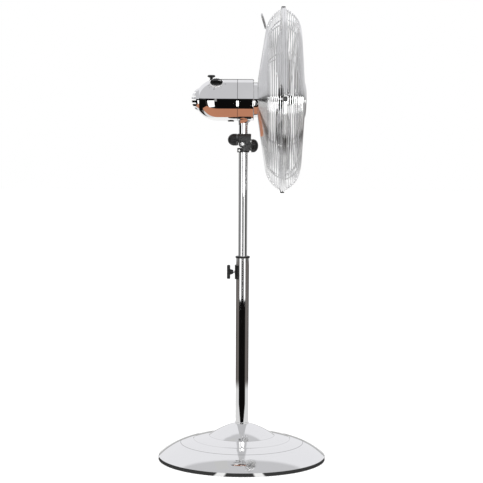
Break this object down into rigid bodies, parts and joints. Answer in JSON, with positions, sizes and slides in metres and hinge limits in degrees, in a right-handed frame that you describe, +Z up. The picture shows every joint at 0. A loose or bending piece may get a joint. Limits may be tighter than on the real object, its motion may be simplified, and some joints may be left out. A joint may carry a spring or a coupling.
{
  "type": "pedestal fan",
  "caption": "Chrome pedestal fan: round weighted base, telescoping pole, tilting and swinging motor head with a wire guard round its blades.",
  "frame": {"origin": "centre of the base, on the floor, under the pole", "axes": "+Z up along the pole, +X the way the air goes, Y across the guard"},
  "size_m": [0.408, 0.4488, 1.1017],
  "materials": {
    "chrome": "mirror chrome plate",
    "chrome_wire": "bright chrome wire",
    "black_plastic": "fine moulded texture",
    "black_rubber": "matt",
    "steel": "zinc plated",
    "blade_metal": "polished",
    "iron": "as cast",
    "painted": "satin black",
    "lamination": "stacked sheet",
    "copper": "enamelled copper wire",
    "bronze": "sintered bronze",
    "nylon": "natural nylon"
  },
  "bodies": {
    "stand": {"base_cover": "chrome", "base_plate": "painted", "base_weight": "iron", "base_feet": "black_rubber", "base_spacer": "steel", "base_bolt": "steel", "pole_plug": "steel", "foot_collar": "chrome", "lower_pole": "chrome", "pole_bush": "black_plastic", "clamp_saddle": "black_plastic"},
    "height_clamp": {"height_knob": "black_plastic", "height_knob_screw": "steel"},
    "mast": {"mast_tube": "chrome", "mast_guide": "nylon", "mast_socket": "black_plastic", "bracket_bolts": "steel"},
    "tilt_lock": {"tilt_lock_knob": "black_plastic"},
    "neck": {"tilt_yoke": "black_plastic", "neck_post": "chrome", "swivel_pin": "steel", "swivel_arm": "steel"},
    "neck_lock": {"neck_lock_knob": "black_plastic"},
    "link": {"oscillation_link": "steel"},
    "head": {"neck_boss": "chrome", "swivel_bush": "nylon", "rear_housing": "chrome", "front_housing": "chrome", "rear_vent_cap": "chrome", "cable_gland": "black_rubber", "motor_bells": "steel", "tie_bolts": "steel", "shaft_bearings": "bronze", "stator_core": "lamination", "stator_windings": "copper", "capacitor": "black_plastic", "gearbox_case": "nylon", "dial_bezel": "chrome", "speed_switch": "black_plastic", "guard_mount": "chrome", "rear_guard_nut": "black_plastic", "rear_guard_plate": "chrome", "rear_guard_rings": "chrome_wire", "rear_guard_ribs": "chrome_wire", "front_guard_rings": "chrome_wire", "front_guard_ribs": "chrome_wire", "guard_rims": "chrome_wire", "guard_clips": "black_plastic", "carry_handle": "chrome_wire", "front_badge": "chrome"},
    "rotor": {"motor_shaft": "steel", "rotor_core": "lamination", "worm": "steel", "fan_blades": "blade_metal", "blade_hub": "painted", "spinner_nut": "black_plastic"},
    "crank": {"worm_wheel": "nylon", "crank": "steel"},
    "dial": {"speed_dial": "black_plastic"},
    "pull_knob": {"oscillation_knob": "black_plastic"}
  },
  "joints": [
    {"name": "height_clamp_turn", "type": "hinge", "parent": "stand", "child": "height_clamp", "pos_m": [-0.033, 0, 0.46], "axis": [1, 0, 0], "range_deg": [-360, 0]},
    {"name": "mast_slide", "type": "slide", "parent": "stand", "child": "mast", "axis": [0, 0, 1], "range_m": [-0.23, 0.07]},
    {"name": "tilt_lock_turn", "type": "hinge", "parent": "mast", "child": "tilt_lock", "pos_m": [0.027, 0, 0.767], "axis": [1, 0, 0], "range_deg": [0, 360]},
    {"name": "tilt", "type": "hinge", "parent": "mast", "child": "neck", "pos_m": [-0.002, 0, 0.771], "axis": [0, 1, 0], "range_deg": [-20, 12]},
    {"name": "neck_lock_turn", "type": "hinge", "parent": "neck", "child": "neck_lock", "pos_m": [-0.022, 0, 0.7815], "axis": [1, 0, 0], "range_deg": [-360, 0]},
    {"name": "oscillation", "type": "hinge", "parent": "neck", "child": "head", "pos_m": [0, 0, 0.8165], "axis": [0, 0, 1], "range_deg": [-40, 40]},
    {"name": "link_swing", "type": "hinge", "parent": "neck", "child": "link", "pos_m": [0, 0.012, 0.8353], "axis": [0, 0, 1], "range_deg": [-41, 41]},
    {"name": "blade_spin", "type": "hinge", "parent": "head", "child": "rotor", "pos_m": [0.096, 0, 0.8773], "axis": [1, 0, 0], "continuous": true},
    {"name": "crank_turn", "type": "hinge", "parent": "head", "child": "crank", "pos_m": [-0.078, 0.0156, 0.8773], "axis": [0, 0, 1], "continuous": true},
    {"name": "dial_turn", "type": "hinge", "parent": "head", "child": "dial", "pos_m": [-0.065, -0.02864, 0.91819], "axis": [0, -0.5736, 0.8192], "range_deg": [-135, 0]},
    {"name": "oscillation_pull", "type": "slide", "parent": "head", "child": "pull_knob", "axis": [0, 0, 1], "range_m": [0, 0.007]}
  ],
  "couplings": [
    {"joint": "crank_turn", "follows": "blade_spin", "ratio": -0.04},
    {"joint": "link_swing", "follows": "oscillation", "ratio": 1}
  ]
}
